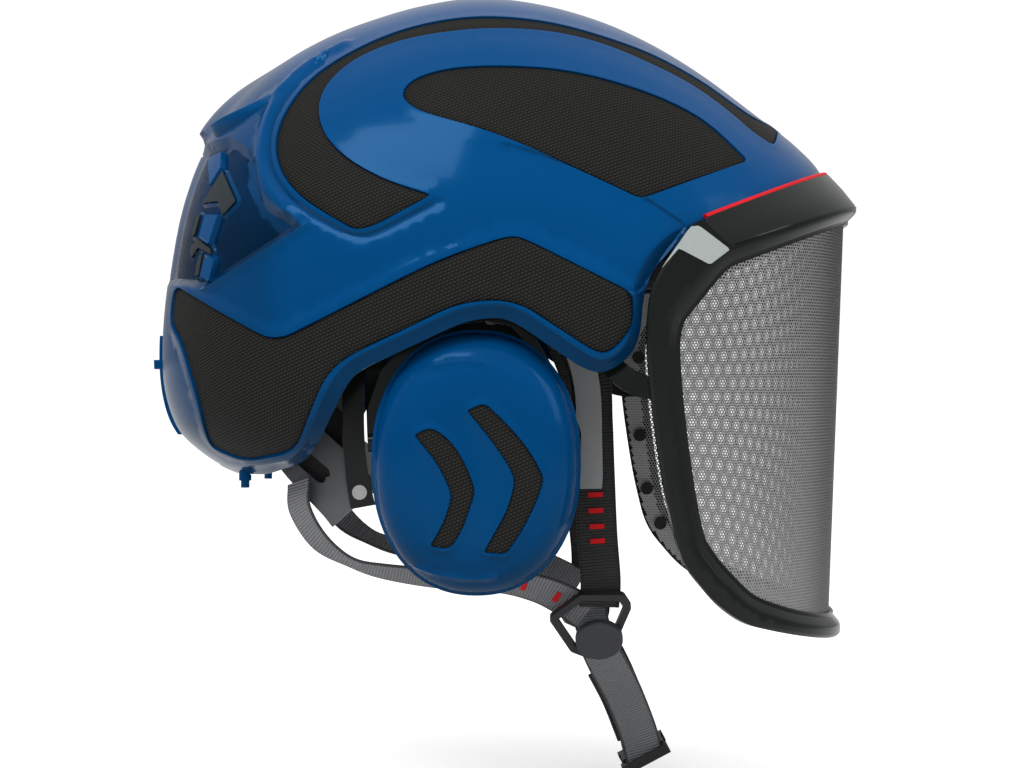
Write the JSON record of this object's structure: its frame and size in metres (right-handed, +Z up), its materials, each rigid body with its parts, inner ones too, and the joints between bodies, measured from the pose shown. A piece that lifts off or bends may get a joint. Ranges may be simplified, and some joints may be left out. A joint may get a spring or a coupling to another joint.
{
  "type": "forestry helmet",
  "caption": "Forestry safety helmet with hinged mesh face visor, swinging ear cups, nape size adjuster and chin strap; blue shell with black textured inlays.",
  "frame": {"origin": "midpoint between the wearer's ears, where the line through the centres of both ear cups meets the symmetry plane", "axes": "+X forward towards the face, +Y to the wearer's left, +Z up to the crown"},
  "size_m": [0.3047, 0.2282, 0.3358],
  "materials": {
    "shell_blue": "glossy deep blue",
    "cap_blue": "glossy deep blue",
    "inlay_black": "matte black with a fine raised weave",
    "gloss_black": "gloss black",
    "satin_black": "satin black",
    "satin_grey": "satin mid grey",
    "mid_grey": "smooth mid grey",
    "dark_grey": "satin dark grey",
    "webbing_black": "woven webbing",
    "webbing_grey": "woven webbing",
    "pad_black": "perforated soft pad",
    "cushion_black": "soft film over foam",
    "foam_grey": "open foam",
    "liner_grey": "fine bead foam",
    "mesh_steel": "etched hexagonal mesh",
    "pin_steel": "turned steel",
    "seal_red": "red rubber lip"
  },
  "bodies": {
    "helmet": {"outer_shell": "shell_blue", "side_bands": "inlay_black", "crown_bands": "inlay_black", "temple_inlays": "inlay_black", "vent_grilles": "satin_black", "rear_clip": "shell_blue", "cape_hooks": "shell_blue", "impact_liner": "liner_grey", "headband": "satin_black", "brow_pad": "pad_black", "cradle_straps": "webbing_black", "crown_pad": "pad_black", "headband_hangers": "satin_black", "side_brackets": "satin_black", "ear_arm_pin_right": "pin_steel", "ear_arm_pin_left": "pin_steel", "visor_arm_pins": "pin_steel", "nape_cradle": "satin_grey", "nape_pad": "pad_black", "front_straps": "webbing_black", "rear_straps": "webbing_grey", "lower_strap_left": "webbing_grey", "front_strap_guides": "mid_grey", "rear_strap_guides": "gloss_black", "strap_rivets": "pin_steel", "strap_dividers": "dark_grey", "divider_caps": "dark_grey", "buckle_base": "satin_black", "buckle_magnet": "pin_steel"},
    "visor": {"visor_frame": "gloss_black", "visor_seal": "seal_red", "visor_mesh": "mesh_steel", "visor_arms": "gloss_black", "visor_arm_screws": "pin_steel", "mesh_clips": "satin_black"},
    "right_arm": {"ear_arm_right": "satin_black", "ear_yoke_right": "gloss_black", "yoke_rivet_right": "pin_steel"},
    "right_cup": {"yoke_pins_right": "pin_steel", "ear_cup_right": "satin_black", "ear_cap_right": "cap_blue", "ear_chevrons_right": "inlay_black", "ear_cushion_right": "cushion_black", "ear_foam_right": "foam_grey"},
    "left_arm": {"ear_arm_left": "satin_black", "ear_yoke_left": "gloss_black", "yoke_rivet_left": "pin_steel"},
    "left_cup": {"yoke_pins_left": "pin_steel", "ear_cup_left": "satin_black", "ear_cap_left": "cap_blue", "ear_chevrons_left": "inlay_black", "ear_cushion_left": "cushion_black", "ear_foam_left": "foam_grey"},
    "adjuster": {"size_knob": "satin_black", "size_pinion": "satin_grey"},
    "right_rack": {"size_rack_right": "satin_grey"},
    "left_rack": {"size_rack_left": "satin_grey"},
    "chin_release": {"buckle_tongue": "satin_black", "lower_strap_right": "webbing_grey"}
  },
  "joints": [
    {"name": "visor_raise", "type": "hinge", "parent": "helmet", "child": "visor", "pos_m": [0.046, 0, 0.093], "axis": [0, -1, 0], "range_deg": [0, 72]},
    {"name": "right_ear_swing", "type": "hinge", "parent": "helmet", "child": "right_arm", "pos_m": [0, -0.098, 0.078], "axis": [-1, 0, 0], "range_deg": [0, 13]},
    {"name": "left_ear_swing", "type": "hinge", "parent": "helmet", "child": "left_arm", "pos_m": [0, 0.098, 0.078], "axis": [1, 0, 0], "range_deg": [0, 13]},
    {"name": "right_cup_tilt", "type": "hinge", "parent": "right_arm", "child": "right_cup", "pos_m": [0, -0.0904, 0.008], "axis": [1, 0, 0], "range_deg": [-6, 6]},
    {"name": "left_cup_tilt", "type": "hinge", "parent": "left_arm", "child": "left_cup", "pos_m": [0, 0.0904, 0.008], "axis": [-1, 0, 0], "range_deg": [-6, 6]},
    {"name": "size_turn", "type": "hinge", "parent": "helmet", "child": "adjuster", "pos_m": [-0.096, 0, 0.013], "axis": [1, 0, 0], "range_deg": [-75, 75]},
    {"name": "right_rack_slide", "type": "slide", "parent": "helmet", "child": "right_rack", "axis": [0, -1, 0], "range_m": [-0.008, 0.008]},
    {"name": "left_rack_slide", "type": "slide", "parent": "helmet", "child": "left_rack", "axis": [0, 1, 0], "range_m": [-0.008, 0.008]},
    {"name": "buckle_slide", "type": "slide", "parent": "helmet", "child": "chin_release", "axis": [0.8829, 0, 0.4695], "range_m": [0, 0.014]}
  ],
  "couplings": [
    {"joint": "right_rack_slide", "follows": "size_turn", "m_per_rad": 0.006},
    {"joint": "left_rack_slide", "follows": "size_turn", "m_per_rad": 0.006}
  ]
}
